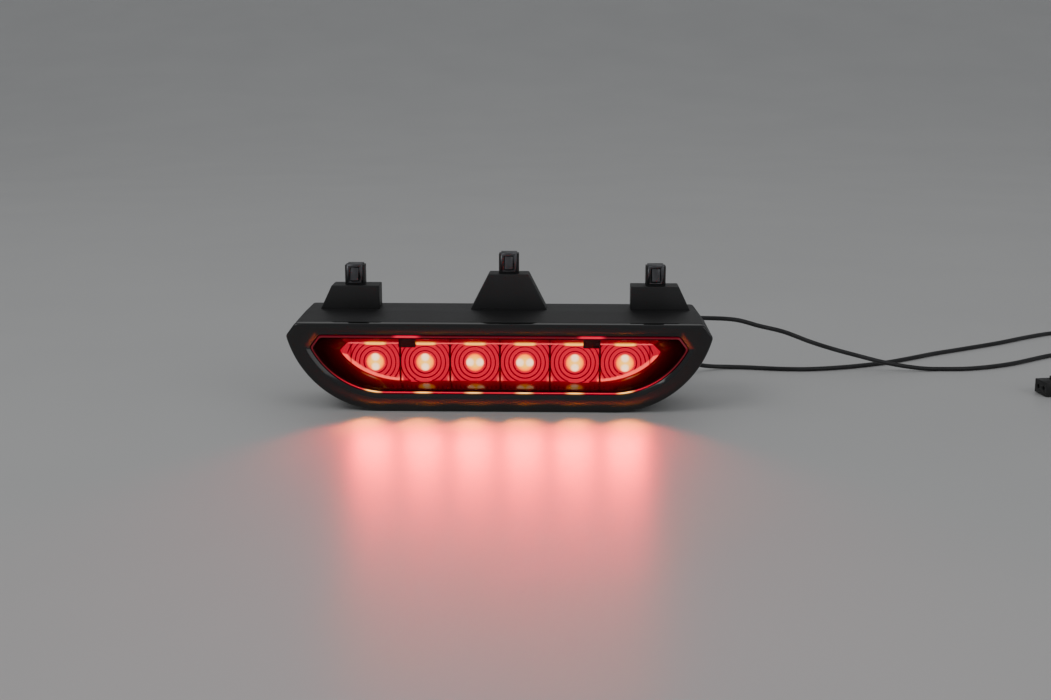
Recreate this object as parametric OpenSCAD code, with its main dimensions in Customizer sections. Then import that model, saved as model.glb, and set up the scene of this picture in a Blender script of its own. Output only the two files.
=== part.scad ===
// Third brake light: a slim high-level stop lamp with six ringed cells, three snap-in towers
// and a two-wire lead. The lens faces -Y, +X is to the lamp's right and it stands on z = 0.

/* [Lens opening] */
// Height of the opening's lower edge above the base
rim_bottom = 9; // [8:0.5:10]
// Height of the opening
rim_height = 29; // [28:0.5:30]
// Half width of the straight lower edge
rim_flat = 56; // [54:1:58]
// Half width of the opening at its widest
rim_reach = 93; // [92:0.5:94]

/* [Housing] */
// Depth from the trim frame's front to the rear wall
depth = 44; // [43:1:46]
// Margin of the housing round the opening
housing_margin = 9; // [9:0.5:10]
// Wall thickness
wall = 2.5; // [2:0.1:3]
// How much further the housing's ends reach than its margin
end_bulk = 4; // [2:0.5:5]
// Thickness of the trim frame
frame_t = 3.5; // [3:0.1:4]

/* [Optic] */
// Distance between two light sources
cell_pitch = 25; // [24.8:0.1:25.2]
// Height of the optic's lower edge above the base
optic_bottom = 13; // [12.8:0.1:13.2]
// Height of the optic
optic_height = 19; // [18.8:0.1:19.2]
// Distance between two ring steps
ring_pitch = 2.2; // [2:0.1:2.6]
// Radius of the smooth centre of a cell
ring_first = 3.6; // [3:0.2:4.2]

/* [Towers] */
// Sideways place of the left tongue
tower_left_x = -74; // [-76:1:-70]
// Sideways place of the middle tongue
tower_mid_x = 4; // [-4:1:6]
// Sideways place of the right tongue
tower_right_x = 78; // [70:1:78]
// Height of the outer shoulders
shoulder_z = 59; // [55:1:62]
// How much higher the middle tower is
mid_rise = 6; // [0:1:8]
// Tongue width
tongue_w = 10; // [9.5:0.5:12]
// Tongue height above its shoulders
tongue_h = 10; // [10:0.5:12]

/* [Lead] */
// Outer diameter of a wire
wire_d = 2.4; // [2:0.1:2.6]
// How far the front and rear barbs stand out, in degrees
barb_angle = 22; // [20:1:24]

/* [Hidden] */
$fn = 96;

front = -depth / 2;
rear = depth / 2;
top_z = rim_bottom + rim_height;
rim_reach_z = top_z - 6;             // height of the opening's widest point
optic_top = optic_bottom + optic_height;
optic_flat = 48;
optic_reach = 80;
optic_reach_z = optic_top - 4;

// Planes from front to rear
frame_back = front + frame_t;
lens_flange_back = frame_back + 1.4;
seal_back = lens_flange_back + 0.6;
bezel_flange_back = seal_back + 1.1;
bezel_back = front + 13;
optic_back = bezel_back + 2.5;
board_front = optic_back + 15.5;
board_back = board_front + 1.6;
rear_inner = rear - wall;

// The ends are cut by a slanted facet whose normal is (0.8, 0.6)
facet_x = 0.8;
facet_z = 0.6;
far = 200;                           // larger than any outline

// The hood's slope, from the frame's front edge back to the deck
deck_z = top_z + housing_margin;
hood_front_z = deck_z - 3;
hood_run = 20;

led_z = optic_bottom + optic_height / 2 - 0.3;
led_spread = 4.8;                    // between the two packages of a pair
led_x = [for (i = [0:5]) (i - 2.5) * cell_pitch];
led_upright = [true, true, false, false, true, true];

screw_spots = [[-60, 38.5], [0, 38.5], [60, 38.5], [-40, 8.6], [40, 8.6]];
lead_x = 81;
lead_z = [34, 16];
grommet_end = rear + 7;

tower_front = 3;
tower_depth = 12;
tongue_t = 6;
tongue_front = tower_front + (tower_depth - tongue_t) / 2;
tongue_rear = tongue_front + tongue_t;
strip_t = 0.6;                       // spring steel strip
strip_w = 8;
barb_w = 4;
barb_t = 0.5;
barb_len = 6.4;
barb_root_r = 0.3;
barb_drop = 1.6;                     // root below the clip's top

// An eye-shaped outline with flat top and bottom, round lower corners and slanted ends, grown
// by e all round and by tip more at its ends
module eye(flat, reach, reach_z, bottom, top, e, tip = 0) {
    dx = reach - flat;
    dz = reach_z - bottom;
    r = (dx * dx + dz * dz) / (2 * dz);
    limit = facet_x * reach + facet_z * reach_z + e + tip;
    intersection() {
        translate([-far, bottom - e])
            square([2 * far, top - bottom + 2 * e]);
        polygon([for (p = [[-1, -far], [1, -far], [1, far / 2], [-1, far / 2]])
            [p[0] * (limit - facet_z * p[1]) / facet_x, p[1]]]);
        union() {
            translate([-flat, -far])
                square([2 * flat, 2 * far]);
            for (side = [-1, 1])
                translate([side * flat, bottom + r])
                    circle(r + e);
        }
    }
}

module rim_outline(e) {
    eye(rim_flat, rim_reach, rim_reach_z, rim_bottom, top_z, e);
}

module housing_outline(e) {
    eye(rim_flat, rim_reach, rim_reach_z, rim_bottom, top_z, e, end_bulk);
}

module optic_outline(e) {
    eye(optic_flat, optic_reach, optic_reach_z, optic_bottom, optic_top, e);
}

// A flat outline in X and Z, made a slab from y0 to y1
module slab(y0, y1) {
    translate([0, y1, 0])
        rotate([90, 0, 0])
            linear_extrude(y1 - y0)
                children();
}

// A closed box from its low corner to its high corner
module block(low, high) {
    translate(low)
        cube(high - low);
}

// A round bar along +Y
module bar_y(x, y0, y1, z, r) {
    translate([x, y0, z])
        rotate([-90, 0, 0])
            cylinder(r = r, h = y1 - y0);
}

// Everything below the hood's slope, lowered by drop
module under_hood(drop) {
    translate([-far, 0, 0])
        rotate([90, 0, 90])
            linear_extrude(2 * far)
                polygon([[front - 1, -5], [rear + 1, -5], [rear + 1, deck_z - drop],
                    [front + hood_run, deck_z - drop], [front, hood_front_z - drop],
                    [front - 1, hood_front_z - drop]]);
}

// ---- housing ----

module housing_shell() {
    difference() {
        intersection() {
            slab(frame_back, rear) housing_outline(housing_margin);
            under_hood(0);
        }
        intersection() {
            slab(frame_back - 1, rear_inner) housing_outline(housing_margin - wall);
            under_hood(wall);
        }
    }
    // ledge that the bezel's flange sits on
    intersection() {
        slab(bezel_flange_back, bezel_flange_back + 2) difference() {
            housing_outline(housing_margin - wall + 0.2);
            rim_outline(1.9);
        }
        under_hood(wall / 2);
    }
}

// A tower: a wide base with one long sloping side, and a tongue on its shoulders
module tower(x, z, base) {
    translate([x, tower_front + tower_depth, 0])
        rotate([90, 0, 0])
            linear_extrude(tower_depth)
                polygon(base);
    block([x - tongue_w / 2, tongue_front, z - 1], [x + tongue_w / 2, tongue_rear, z + tongue_h]);
}

// Pockets that leave the tower's back as ribs, and the relief behind each barb
module tower_cuts(x, z) {
    for (side = [-1, 1])
        block([x + side * 4.6 - 3.4, tower_front + tower_depth - 6, deck_z + 1.5],
            [x + side * 4.6 + 3.4, tower_front + tower_depth + 1, z - 2.5]);
    tip = z + tongue_h;
    for (y = [tongue_front, tongue_rear])
        block([x - barb_w / 2 - 0.4, y - 1, tip - 8.6], [x + barb_w / 2 + 0.4, y + 1, tip - 0.8]);
}

outer_base = [[-18, deck_z - 1.5], [-11.5, shoulder_z], [12.5, shoulder_z], [12.5, deck_z - 1.5]];
mid_base = [[-20, deck_z - 1.5], [-10, shoulder_z + mid_rise], [10, shoulder_z + mid_rise],
    [20, deck_z - 1.5]];

module rear_housing() {
    color("#17171a")
        difference() {
            union() {
                housing_shell();
                tower(tower_left_x, shoulder_z, outer_base);
                tower(tower_mid_x, shoulder_z + mid_rise, mid_base);
                tower(tower_right_x, shoulder_z, [for (p = outer_base) [-p[0], p[1]]]);
                for (s = screw_spots)
                    bar_y(s[0], board_back, rear_inner + 1, s[1], 2.6);
            }
            tower_cuts(tower_left_x, shoulder_z);
            tower_cuts(tower_mid_x, shoulder_z + mid_rise);
            tower_cuts(tower_right_x, shoulder_z);
            for (s = screw_spots)
                bar_y(s[0], board_back - 1, board_back + 6, s[1], 1);
            for (z = lead_z)
                bar_y(lead_x, rear_inner - 1, rear + 1, z, 3);
            bar_y(-60, rear_inner - 1, rear + 1, led_z, 2);
            bar_y(-60, rear - 0.6, rear + 1, led_z, 4);
        }
}

module trim_frame() {
    color("#0d0d10")
        intersection() {
            slab(front, frame_back) difference() {
                housing_outline(housing_margin);
                rim_outline(0);
            }
            under_hood(0);
        }
}

module outer_lens() {
    color("#5a1015", 0.5)
        difference() {
            union() {
                slab(front + 0.6, lens_flange_back) rim_outline(-0.15);
                slab(frame_back, lens_flange_back) rim_outline(2.4);
            }
            slab(front + 2.4, lens_flange_back + 1) rim_outline(-1.6);
        }
}

module lens_seal() {
    color("#2b2b2b")
        slab(lens_flange_back, seal_back) difference() {
            rim_outline(2.3);
            rim_outline(1);
        }
}

// ---- optic ----

// The bezel's wall shrinks from the rim to the optic, about the height shrink_z
shrink = [optic_reach / rim_reach, optic_height / rim_height];
shrink_z = (optic_bottom - rim_bottom * shrink[1]) / (1 - shrink[1]);
function shrink_at(y, i) = 1 - (1 - shrink[i]) * (y - lens_flange_back) / (bezel_back - lens_flange_back);

// A thin slice of the bezel's wall at y
module slice(y, e) {
    translate([0, y, shrink_z])
        rotate([90, 0, 0])
            linear_extrude(0.01)
                scale([shrink_at(y, 0), shrink_at(y, 1)])
                    translate([0, -shrink_z])
                        rim_outline(e);
}

module funnel(y0, y1, e) {
    hull() {
        slice(y0, e);
        slice(y1, e);
    }
}

hook_x = [41.5, 50];
lug_x = [34, 45];

module bezel() {
    color("#1c0a0c")
        difference() {
            union() {
                slab(seal_back, bezel_flange_back) rim_outline(3.4);
                funnel(seal_back + 0.02, bezel_back, 1.6);
                for (side = [-1, 1])
                    block([min(side * hook_x[0], side * hook_x[1]), seal_back + 1, optic_top - 1],
                        [max(side * hook_x[0], side * hook_x[1]), bezel_back - 0.2, top_z]);
            }
            difference() {
                funnel(seal_back - 1, bezel_back + 1, 0);
                for (side = [-1, 1])
                    block([min(side * hook_x[0], side * hook_x[1]), seal_back + 1, optic_top - 1],
                        [max(side * hook_x[0], side * hook_x[1]), bezel_back - 0.2, top_z]);
            }
            for (side = [-1, 1])
                block([min(side * lug_x[0], side * lug_x[1]), bezel_back - 1.4, optic_bottom - 2],
                    [max(side * lug_x[0], side * lug_x[1]), bezel_back + 1, optic_bottom + 1]);
        }
}

tooth = 0.9;
teeth = 13;
tooth_base = bezel_back + 1.1;
fresnel = concat([[0, 0], [0, tooth * 1.1], [ring_first * 0.6, tooth * 0.95], [ring_first - 0.2, tooth * 0.4]],
    [for (i = [0:teeth - 1]) each [[ring_first + i * ring_pitch, tooth * 0.1],
        [ring_first + i * ring_pitch + 0.3, tooth], [ring_first + (i + 1) * ring_pitch - 0.1, tooth * 0.3]]],
    [[ring_first + teeth * ring_pitch, 0]]);

module cell_prism(i) {
    gap = 0.25;
    left = i == 0 ? -optic_reach - 5 : led_x[i] - cell_pitch / 2 + gap;
    right = i == 5 ? optic_reach + 5 : led_x[i] + cell_pitch / 2 - gap;
    intersection() {
        optic_outline(0);
        translate([left, 0])
            square([right - left, top_z]);
    }
}

module inner_optic() {
    color("#d01020", 0.8)
        union() {
            slab(tooth_base - 0.1, optic_back) optic_outline(1);
            for (side = [-1, 1])
                block([min(side * lug_x[0], side * lug_x[1]) + 0.3, bezel_back - 1, optic_bottom - 0.7],
                    [max(side * lug_x[0], side * lug_x[1]) - 0.3, optic_back, optic_bottom + 0.5]);
            for (i = [0:5])
                intersection() {
                    slab(tooth_base - 1.05, tooth_base) cell_prism(i);
                    translate([led_x[i], tooth_base, led_z])
                        rotate([90, 0, 0])
                            rotate_extrude()
                                polygon(fresnel);
                }
        }
}

module light_baffle() {
    color("#d8d8d4")
        difference() {
            slab(optic_back, board_front) optic_outline(1.2);
            for (i = [0:5])
                intersection() {
                    slab(optic_back - 1, board_front + 1) optic_outline(-0.3);
                    block([i == 0 ? -optic_reach : led_x[i] - cell_pitch / 2 + 0.5, optic_back - 1, 0],
                        [i == 5 ? optic_reach : led_x[i] + cell_pitch / 2 - 0.5, board_front + 1, top_z]);
                }
        }
}

// ---- board ----

module circuit_board() {
    color("#1d5a34")
        difference() {
            slab(board_front, board_back) rim_outline(3);
            for (s = screw_spots)
                bar_y(s[0], board_front - 1, board_back + 1, s[1], 1.5);
        }
}

led_size = [3.5, 1.9, 2.8];
cup_r = 1.2;

// The places of the two packages of a pair
function pair_spots(i) = [for (side = [-1, 1]) [led_x[i] + (led_upright[i] ? 0 : side * led_spread / 2),
    led_z + (led_upright[i] ? side * led_spread / 2 : 0)]];

module led_pair(i) {
    size = led_upright[i] ? [led_size[2], led_size[0]] : [led_size[0], led_size[2]];
    color("#e8e6dc")
        for (spot = pair_spots(i))
            difference() {
                block([spot[0] - size[0] / 2, board_front - led_size[1], spot[1] - size[1] / 2],
                    [spot[0] + size[0] / 2, board_front, spot[1] + size[1] / 2]);
                bar_y(spot[0], board_front - led_size[1] - 1, board_front - led_size[1] + 0.8, spot[1], cup_r);
            }
}

module led_windows() {
    color("#ffb060")
        for (i = [0:5])
            for (spot = pair_spots(i))
                translate([spot[0], board_front - led_size[1] + 0.8, spot[1]])
                    rotate([90, 0, 0])
                        rotate_extrude()
                            polygon([[0, 0], [cup_r - 0.05, 0], [cup_r - 0.05, 0.7], [cup_r - 0.5, 1.05],
                                [0, 1.2]]);
}

module resistors() {
    color("#202022")
        for (x = led_x)
            block([x + 4.4, board_back, led_z - 0.8], [x + 7.6, board_back + 0.6, led_z + 0.8]);
}

module diode() {
    color("#161618")
        union() {
            block([66, board_back + 0.3, 28.7], [70.3, board_back + 2.3, 31.3]);
            for (x = [65.2, 69.9])
                block([x, board_back, 29.2], [x + 1.2, board_back + 0.6, 30.8]);
        }
}

module solder_tags() {
    color("#c9a24a")
        for (z = lead_z)
            difference() {
                bar_y(lead_x, board_back, board_back + 1.6, z, 2);
                bar_y(lead_x, board_back + 0.6, board_back + 2, z, wire_d / 2);
            }
}

module inner_leads() {
    color("#101010")
        for (z = lead_z)
            bar_y(lead_x, board_back + 0.6, grommet_end, z, wire_d / 2);
}

module board_screws() {
    color("#b9bcc0")
        for (s = screw_spots)
            difference() {
                union() {
                    bar_y(s[0], board_front, board_back + 5.5, s[1], 1.2);
                    bar_y(s[0], board_front - 1.5, board_front, s[1], 2.4);
                }
                for (turn = [0, 90])
                    translate([s[0], board_front - 1.5, s[1]])
                        rotate([0, turn, 0])
                            block([-1.3, -1, -0.3], [1.3, 0.8, 0.3]);
            }
}

module vent_membrane() {
    color("#e4e4e0")
        bar_y(-60, rear - 0.6, rear, led_z, 3.9);
}

// ---- lead ----

module grommet(z) {
    color("#1a1a1a")
        translate([lead_x, 0, z])
            rotate([-90, 0, 0])
                rotate_extrude()
                    polygon([[wire_d / 2 - 0.05, rear_inner - 1.2], [4.2, rear_inner - 1.2], [4.2, rear_inner],
                        [3, rear_inner], [3, rear], [4.6, rear], [4.6, rear + 1.4], [3.2, rear + 1.8],
                        [wire_d / 2 + 0.7, grommet_end], [wire_d / 2 - 0.05, grommet_end]]);
}

module grommet_upper() grommet(lead_z[0]);
module grommet_lower() grommet(lead_z[1]);

// Route points of the two wires, laid out by hand from the grommets to the plug
lie = wire_d / 2;
upper_route = [[81, 29, 34], [81, 37, 34], [85, 46, 34], [94, 51, 34], [106, 52, 34], [124, 53, 33],
    [138, 56, 29], [152, 60, 25], [167, 63, 19], [181, 67, 14], [196, 70, 9.5], [210, 73, 5.5],
    [225, 75, 2.5], [239, 76, lie], [260, 78, lie], [285, 90, lie], [316, 114, lie], [345, 131, lie],
    [369, 137, lie], [389, 130, lie], [400, 112, lie], [398, 90, lie], [384, 70, lie], [366, 54, lie],
    [346, 41, lie], [330, 32, 2.5], [318, 27, 4.2], [308.5, 24.97, 4.2]];
lower_route = [[81, 29, 16], [81, 37, 16], [84, 47, 14.5], [91, 56, 10.5], [101, 66, 6], [113, 74, 2.5],
    [128, 78, lie], [153, 74, lie], [170, 74, lie], [191, 80, lie], [214, 91, lie], [231, 103, lie],
    [249, 117, lie], [267, 129, lie], [296, 149, lie], [320, 168, lie], [340, 181, lie], [357, 183, lie],
    [369, 173, lie], [370, 157, 2], [362, 137, 4], [352, 118, 2.4], [343, 98, lie], [336, 77, lie],
    [331, 56, lie], [325, 41, 2.5], [316, 32.5, 4.2], [307.46, 29.86, 4.2]];

// Catmull-Rom point at t along segment i of a route
function at(r, i) = r[max(0, min(len(r) - 1, i))];
function curve(r, i, t) = 0.5 * (2 * at(r, i) + (at(r, i + 1) - at(r, i - 1)) * t
    + (2 * at(r, i - 1) - 5 * at(r, i) + 4 * at(r, i + 1) - at(r, i + 2)) * t * t
    + (3 * at(r, i) - at(r, i - 1) - 3 * at(r, i + 1) + at(r, i + 2)) * t * t * t);
rings_per_wire = 40;
function route_point(r, k) = let (u = k * (len(r) - 1) / (rings_per_wire - 1),
    i = min(len(r) - 2, floor(u))) curve(r, i, u - i);

// A tube of 8 sides along a route; its ends are square to the given directions
module wire(r, first, last) {
    path = [for (k = [0:rings_per_wire - 1]) route_point(r, k)];
    sides = 8;
    rad = wire_d / 2 / cos(180 / sides);
    way = [for (k = [0:rings_per_wire - 1]) k == 0 ? first : k == rings_per_wire - 1 ? last
        : path[k + 1] - path[k - 1]];
    points = [for (k = [0:rings_per_wire - 1])
        let (f = way[k] / norm(way[k]), s = cross(f, [0, 0, 1]), across = s / norm(s), up = cross(across, f))
            for (j = [0:sides - 1])
                let (a = (j + 0.5) * 360 / sides) path[k] + rad * (cos(a) * across + sin(a) * up)];
    skin = [for (k = [0:rings_per_wire - 2]) for (j = [0:sides - 1])
        let (n = (j + 1) % sides, a = k * sides, b = a + sides) each [[a + j, a + n, b + n], [a + j, b + n, b + j]]];
    start_cap = [[for (j = [0:sides - 1]) sides - 1 - j]];
    end_cap = [[for (j = [0:sides - 1]) (rings_per_wire - 1) * sides + j]];
    color("#0e0e0f")
        polyhedron(points, concat(skin, start_cap, end_cap));
}

plug_turn = 12;
plug_at = [306, 27, 4.2];
plug_way = [cos(plug_turn), sin(plug_turn), 0];

module wire_upper() wire(upper_route, [0, 1, 0], -plug_way);
module wire_lower() wire(lower_route, [0, 1, 0], -plug_way);

// ---- plug: built with its nose at -X, then turned and moved to its place ----

module at_plug() {
    translate(plug_at)
        rotate([0, 0, plug_turn])
            children();
}

plug_len = 27;
plug_w = 13;
plug_low = -4.2;
plug_high = 3.4;
way_y = [-2.5, 2.5];
pivot = [-8, 0, 4.7];

module round_way(y, x0, x1, r) {
    translate([x0, y, 0])
        rotate([0, 90, 0])
            cylinder(r = r, h = x1 - x0);
}

module plug_shell() {
    color("#121214")
        at_plug()
            difference() {
                union() {
                    block([-plug_len, -plug_w / 2 + 0.8, plug_low + 0.6], [0, plug_w / 2 - 0.8, plug_high]);
                    block([-plug_len + 9, -plug_w / 2, plug_low], [-2, plug_w / 2, plug_high - 0.8]);
                    for (side = [-1, 1])
                        block([pivot[0] - 1.3, side * 3.5 - 0.6, plug_high - 0.5],
                            [pivot[0] + 1.3, side * 3.5 + 0.6, pivot[2] + 1]);
                    for (x = [-13, -15.5, -18])
                        block([x, -plug_w / 2 - 0.4, plug_low + 1.6], [x + 1, plug_w / 2 + 0.4, plug_high - 2.4]);
                }
                for (y = way_y) {
                    round_way(y, -plug_len - 1, -plug_len + 9, 1.1);
                    round_way(y, -plug_len + 8, -4, 1.6);
                    round_way(y, -4.5, 1, 2.1);
                }
                translate([pivot[0], -6, pivot[2]])
                    rotate([-90, 0, 0])
                        cylinder(r = 0.65, h = 12);
            }
}

module plug_terminals() {
    color("#c8b070")
        at_plug()
            for (y = way_y)
                difference() {
                    round_way(y, -plug_len + 9.2, -4.2, 1.55);
                    round_way(y, -plug_len + 8, -plug_len + 16, 0.9);
                }
}

module wire_seals() {
    color("#8c3a1e")
        at_plug()
            for (y = way_y)
                translate([0, y, 0])
                    rotate([0, 90, 0])
                        rotate_extrude()
                            polygon([[0, -4], [2.1, -4], [2.1, -0.2], [1.8, 0.3], [1.8, 2], [0, 2]]);
}

module plug_latch() {
    color("#1b1b1e")
        at_plug()
            difference() {
                union() {
                    block([-21, -2.5, plug_high + 0.7], [-1, 2.5, plug_high + 1.9]);
                    block([-1.4, -2.5, plug_high + 1.5], [-0.6, 2.5, plug_high + 2.4]);
                    block([-21, -2.5, plug_high + 0.1], [-19.8, 2.5, plug_high + 1]);
                    translate([pivot[0], -4, pivot[2]])
                        rotate([-90, 0, 0])
                            cylinder(r = 0.6, h = 8);
                }
                block([-18.5, -1.2, plug_high], [-11, 1.2, plug_high + 3]);
            }
}

// ---- spring clips ----

// A strip bent over a tongue, with a window in each leg
module clip(x, z) {
    tip = z + tongue_h;
    color("#a9adb2")
        difference() {
            block([x - strip_w / 2, tongue_front - strip_t, z + 0.8], [x + strip_w / 2, tongue_rear + strip_t, tip + strip_t]);
            block([x - strip_w, tongue_front, z - 1], [x + strip_w, tongue_rear, tip]);
            block([x - barb_w / 2 - 0.3, tongue_front - strip_t - 1, tip - 8.4],
                [x + barb_w / 2 + 0.3, tongue_rear + strip_t + 1, tip - barb_drop + barb_root_r + 0.08]);
        }
}

// A barb hangs from its root and stands out; side is -1 for the front one
module barb(x, z, side) {
    root_y = side < 0 ? tongue_front - strip_t / 2 : tongue_rear + strip_t / 2;
    color("#b4b8bd")
        translate([x, root_y, z + tongue_h - barb_drop])
            union() {
                translate([-barb_w / 2, 0, 0])
                    rotate([0, 90, 0])
                        cylinder(r = barb_root_r, h = barb_w);
                rotate([side * barb_angle, 0, 0])
                    block([-barb_w / 2, -barb_t / 2, -barb_len], [barb_w / 2, barb_t / 2, 0]);
            }
}

module clip_left() clip(tower_left_x, shoulder_z);
module clip_middle() clip(tower_mid_x, shoulder_z + mid_rise);
module clip_right() clip(tower_right_x, shoulder_z);
module barb_left_front() barb(tower_left_x, shoulder_z, -1);
module barb_left_rear() barb(tower_left_x, shoulder_z, 1);
module barb_middle_front() barb(tower_mid_x, shoulder_z + mid_rise, -1);
module barb_middle_rear() barb(tower_mid_x, shoulder_z + mid_rise, 1);
module barb_right_front() barb(tower_right_x, shoulder_z, -1);
module barb_right_rear() barb(tower_right_x, shoulder_z, 1);

rear_housing();
trim_frame();
outer_lens();
lens_seal();
bezel();
inner_optic();
light_baffle();
circuit_board();
led_pair(0);  // led_pair_1
led_pair(1);  // led_pair_2
led_pair(2);  // led_pair_3
led_pair(3);  // led_pair_4
led_pair(4);  // led_pair_5
led_pair(5);  // led_pair_6
led_windows();
resistors();
diode();
solder_tags();
inner_leads();
board_screws();
vent_membrane();
grommet_upper();
grommet_lower();
clip_left();
clip_middle();
clip_right();
barb_left_front();
barb_left_rear();
barb_middle_front();
barb_middle_rear();
barb_right_front();
barb_right_rear();
wire_upper();
wire_lower();
plug_shell();
plug_terminals();
wire_seals();
plug_latch();
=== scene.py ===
# %% [markdown]
# # A slim stop lamp with six ringed cells
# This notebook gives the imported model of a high-level stop lamp its looks: a black tub with a
# glossy trim frame, a smoked cover, a red optic with six ringed cells, three clip towers and a
# two-wire lead with a small connector. Everything is in the model's own frame: the lens faces -Y
# and the lamp stands on z = 0. A piece made here rides on one of the frame's bodies by name, so
# it follows the joints with no extra work.

# %% Load the frame
from math import acos, atan2, cos, pi, radians, sin

import bmesh
import bpy
from mathutils import Matrix, Vector


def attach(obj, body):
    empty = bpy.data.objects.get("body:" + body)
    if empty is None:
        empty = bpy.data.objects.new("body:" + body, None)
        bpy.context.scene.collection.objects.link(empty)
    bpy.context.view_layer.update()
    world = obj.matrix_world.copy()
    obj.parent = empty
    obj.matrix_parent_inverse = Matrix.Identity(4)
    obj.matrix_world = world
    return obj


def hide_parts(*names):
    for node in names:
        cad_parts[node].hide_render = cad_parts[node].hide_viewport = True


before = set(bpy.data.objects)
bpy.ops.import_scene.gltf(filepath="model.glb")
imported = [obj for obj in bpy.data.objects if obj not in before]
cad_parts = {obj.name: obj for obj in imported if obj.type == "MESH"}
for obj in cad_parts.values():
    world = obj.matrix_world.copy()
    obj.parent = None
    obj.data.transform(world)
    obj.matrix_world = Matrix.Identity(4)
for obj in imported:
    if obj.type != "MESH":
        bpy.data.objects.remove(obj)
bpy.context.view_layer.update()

MM = 0.001

# %% [markdown]
# ## Camera
# The lamp is seen from a little to its right and from above, as by someone who sits at the
# table. A longer lens than the eye's keeps the six cells nearly equal in width.

# %% Place the camera
def put(name, data):
    """A new object in the scene."""
    obj = bpy.data.objects.new(name, data)
    bpy.context.scene.collection.objects.link(obj)
    return obj


camera = put("camera", bpy.data.cameras.new("camera"))
camera.location = (0.03173, -0.68587, 0.17267)
camera.rotation_euler = (radians(90 - 12), 0, radians(1.6))
camera.data.sensor_width = 36
camera.data.lens = 47.5
bpy.context.scene.camera = camera
print("camera", [round(v, 3) for v in camera.location])

# %% [markdown]
# ## Two cords
# The lead is two single wires that leave the back of the housing one above the other, drop to
# the table, run out to the right and come back to one small connector. A bezier curve with a
# round bevel stays a cord: its length and its tightest bend can be measured. Each handle is a
# sixth of the step between the two neighbours, and never lower than the wire can lie.

# %% Lay out the routes
WIRE = 2.4
LIE = WIRE / 2
upper_route = [
    (81, 29, 34), (81, 37, 34), (85, 46, 34), (94, 51, 34), (106, 52, 34), (124, 53, 33),
    (138, 56, 29), (152, 60, 25), (167, 63, 19), (181, 67, 14), (196, 70, 9.5), (210, 73, 5.5),
    (225, 75, 2.5), (239, 76, LIE), (260, 78, LIE), (285, 90, LIE), (316, 114, LIE),
    (345, 131, LIE), (369, 137, LIE), (389, 130, LIE), (400, 112, LIE), (398, 90, LIE),
    (384, 70, LIE), (366, 54, LIE), (346, 41, LIE), (330, 32, 2.5), (318, 27, 4.2),
    (308.5, 24.97, 4.2)]
lower_route = [
    (81, 29, 16), (81, 37, 16), (84, 47, 14.5), (91, 56, 10.5), (101, 66, 6), (113, 74, 2.5),
    (128, 78, LIE), (153, 74, LIE), (170, 74, LIE), (191, 80, LIE), (214, 91, LIE),
    (231, 103, LIE), (249, 117, LIE), (267, 129, LIE), (296, 149, LIE), (320, 168, LIE),
    (340, 181, LIE), (357, 183, LIE), (369, 173, LIE), (370, 157, 2), (362, 137, 4),
    (352, 118, 2.4), (343, 98, LIE), (336, 77, LIE), (331, 56, LIE), (325, 41, 2.5),
    (316, 32.5, 4.2), (307.46, 29.86, 4.2)]
print("points", len(upper_route), len(lower_route))


# %% Make the wires
def make_wire(name, route):
    curve = bpy.data.curves.new(name, "CURVE")
    curve.dimensions = "3D"
    spline = curve.splines.new("BEZIER")
    spline.bezier_points.add(len(route) - 1)
    for i, (knot, place) in enumerate(zip(spline.bezier_points, route)):
        before, after = Vector(route[max(i - 1, 0)]), Vector(route[min(i + 1, len(route) - 1)])
        pull = (after - before) / 6
        knot.handle_left_type = knot.handle_right_type = "FREE"
        knot.co = Vector(place) * MM
        for side, handle in ((-1, "handle_left"), (1, "handle_right")):
            spot = Vector(place) + side * pull
            spot.z = max(spot.z, LIE)
            setattr(knot, handle, spot * MM)
    curve.bevel_depth = WIRE / 2 * MM
    curve.bevel_resolution = 6
    curve.resolution_u = 8
    curve.use_fill_caps = True
    return put(name, curve)


def run_length(wire):
    return wire.data.splines[0].calc_length()


wires = {"upper": make_wire("wire_run_upper", upper_route),
         "lower": make_wire("wire_run_lower", lower_route)}
for side, wire in wires.items():
    print(side, "wire", round(run_length(wire) / MM), "mm")

# %% [markdown]
# ## Table and light
# A plain pale table, a soft pale surround and three large soft lamps show the object. The stop
# lamp itself is lit, so the studio is kept a little low and the red glow shows on the table.

# %% Set the stage
def add_softbox(name, place, aim, size, watts, tint=(1, 1, 1)):
    lamp = bpy.data.lights.new(name, "AREA")
    lamp.shape, lamp.size, lamp.size_y = "RECTANGLE", size[0], size[1]
    lamp.energy, lamp.color = watts, tint
    obj = put(name, lamp)
    obj.location = place
    obj.rotation_euler = (Vector(aim) - Vector(place)).to_track_quat("-Z", "Y").to_euler()
    return obj


def sweep_backdrop(name, width, front, turn_y, radius, height):
    """A table top that turns up into a wall, as one smooth sheet."""
    line = [(front, 0.0)]
    line += [(turn_y + radius * sin(a), radius - radius * cos(a))
             for a in (pi / 2 * i / 24 for i in range(25))] + [(turn_y + radius, height)]
    points = [(x, y, z) for y, z in line for x in (-width / 2, width / 2)]
    faces = [(2 * i, 2 * i + 1, 2 * i + 3, 2 * i + 2) for i in range(len(line) - 1)]
    mesh = bpy.data.meshes.new(name)
    mesh.from_pydata(points, [], faces)
    mesh.shade_smooth()
    return put(name, mesh)


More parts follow.
